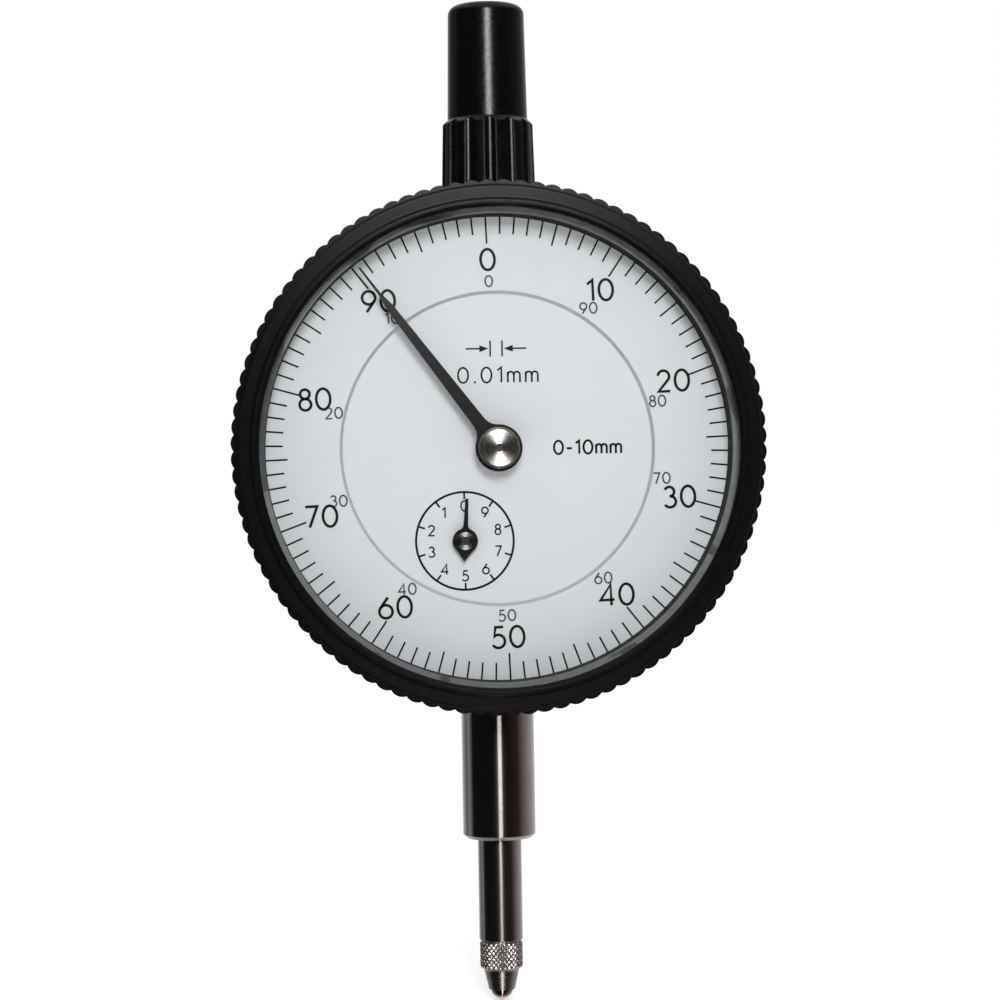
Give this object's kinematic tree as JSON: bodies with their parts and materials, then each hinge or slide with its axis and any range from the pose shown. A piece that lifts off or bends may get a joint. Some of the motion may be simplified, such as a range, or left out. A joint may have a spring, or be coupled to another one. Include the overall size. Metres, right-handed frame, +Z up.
{
  "type": "dial indicator",
  "caption": "Plunger dial indicator with a turning bezel, a long hand, a small revolution hand, a clamping stem, a sliding spindle and a lug back",
  "frame": {"origin": "the middle of the stem's clamping length, on the spindle axis", "axes": "+Z up along the spindle axis from the contact point to the cap, -Y out of the dial towards the reader, +X to the reader's right"},
  "size_m": [0.0562, 0.0386, 0.1093],
  "materials": {
    "case_enamel": "black enamel, satin",
    "polished_steel": "ground and polished steel",
    "bronze": "turned bronze",
    "black_rubber": "black rubber, matte",
    "black_gloss": "black, semi-gloss",
    "screw_steel": "turned steel",
    "plate_brass": "brass, fine-grained",
    "jewel_red": "synthetic ruby",
    "dial_face": "pale grey-white paint, satin",
    "spring_steel": "drawn spring wire",
    "contact_steel": "knurled and turned steel",
    "carbide": "polished carbide",
    "hand_black": "black enamel",
    "turned_steel": "face-turned steel",
    "bezel_black": "black, satin",
    "clear_crystal": "clear acrylic crystal"
  },
  "bodies": {
    "case": {"case": "case_enamel", "stem": "polished_steel", "lower_bush": "bronze", "upper_bush": "bronze", "buffer_washer": "black_rubber", "spindle_cap": "black_gloss", "back_cover": "case_enamel", "back_gasket": "black_rubber", "back_screws": "screw_steel", "rear_plate": "plate_brass", "front_plate": "plate_brass", "plate_pillars": "screw_steel", "plate_screws": "screw_steel", "pillar_screws": "screw_steel", "pivot_jewels": "jewel_red", "dial_plate": "dial_face", "rack_bridge": "plate_brass", "bridge_screws": "screw_steel", "guide_plate": "screw_steel", "guide_screws": "screw_steel", "spring_post": "screw_steel", "return_spring": "spring_steel", "bezel_snap_ring": "spring_steel", "bezel_oring": "black_rubber", "hairspring": "spring_steel", "hairspring_stud": "bronze"},
    "spindle": {"spindle": "polished_steel", "guide_pin": "screw_steel", "stop_collar": "screw_steel", "contact_point": "contact_steel", "contact_ball": "carbide"},
    "small_arbor": {"rack_pinion_arbor": "screw_steel", "rack_wheel": "plate_brass", "small_hand": "hand_black", "small_hand_boss": "turned_steel"},
    "centre_arbor": {"centre_arbor": "screw_steel", "main_hand": "hand_black", "main_hand_boss": "turned_steel"},
    "takeup_arbor": {"takeup_arbor": "screw_steel", "takeup_wheel": "plate_brass", "hairspring_collet": "bronze"},
    "bezel": {"bezel_ring": "bezel_black", "crystal": "clear_crystal", "crystal_gasket": "black_rubber", "spacer_ring": "bezel_black", "graduated_ring": "dial_face"}
  },
  "joints": [
    {"name": "spindle_slide", "type": "slide", "parent": "case", "child": "spindle", "axis": [0, 0, 1], "range_m": [0, 0.0105], "stiffness_N_per_m": 70, "springref_m": -0.01, "deforming": ["return_spring"]},
    {"name": "small_hand_turn", "type": "hinge", "parent": "case", "child": "small_arbor", "pos_m": [-0.00366, 0, 0.02511], "axis": [0, 1, 0], "range_deg": [-400, 5]},
    {"name": "main_hand_turn", "type": "hinge", "parent": "case", "child": "centre_arbor", "pos_m": [0, 0, 0.0349], "axis": [0, 1, 0], "continuous": true},
    {"name": "takeup_turn", "type": "hinge", "parent": "case", "child": "takeup_arbor", "pos_m": [0.00522, 0, 0.04395], "axis": [0, 1, 0], "range_deg": [-400, 5]},
    {"name": "bezel_turn", "type": "hinge", "parent": "case", "child": "bezel", "pos_m": [0, 0, 0.0349], "axis": [0, 1, 0], "continuous": true}
  ],
  "couplings": [
    {"joint": "small_hand_turn", "follows": "spindle_slide", "rad_per_m": -628.32},
    {"joint": "main_hand_turn", "follows": "spindle_slide", "rad_per_m": 6283.2},
    {"joint": "takeup_turn", "follows": "spindle_slide", "rad_per_m": -628.32}
  ]
}
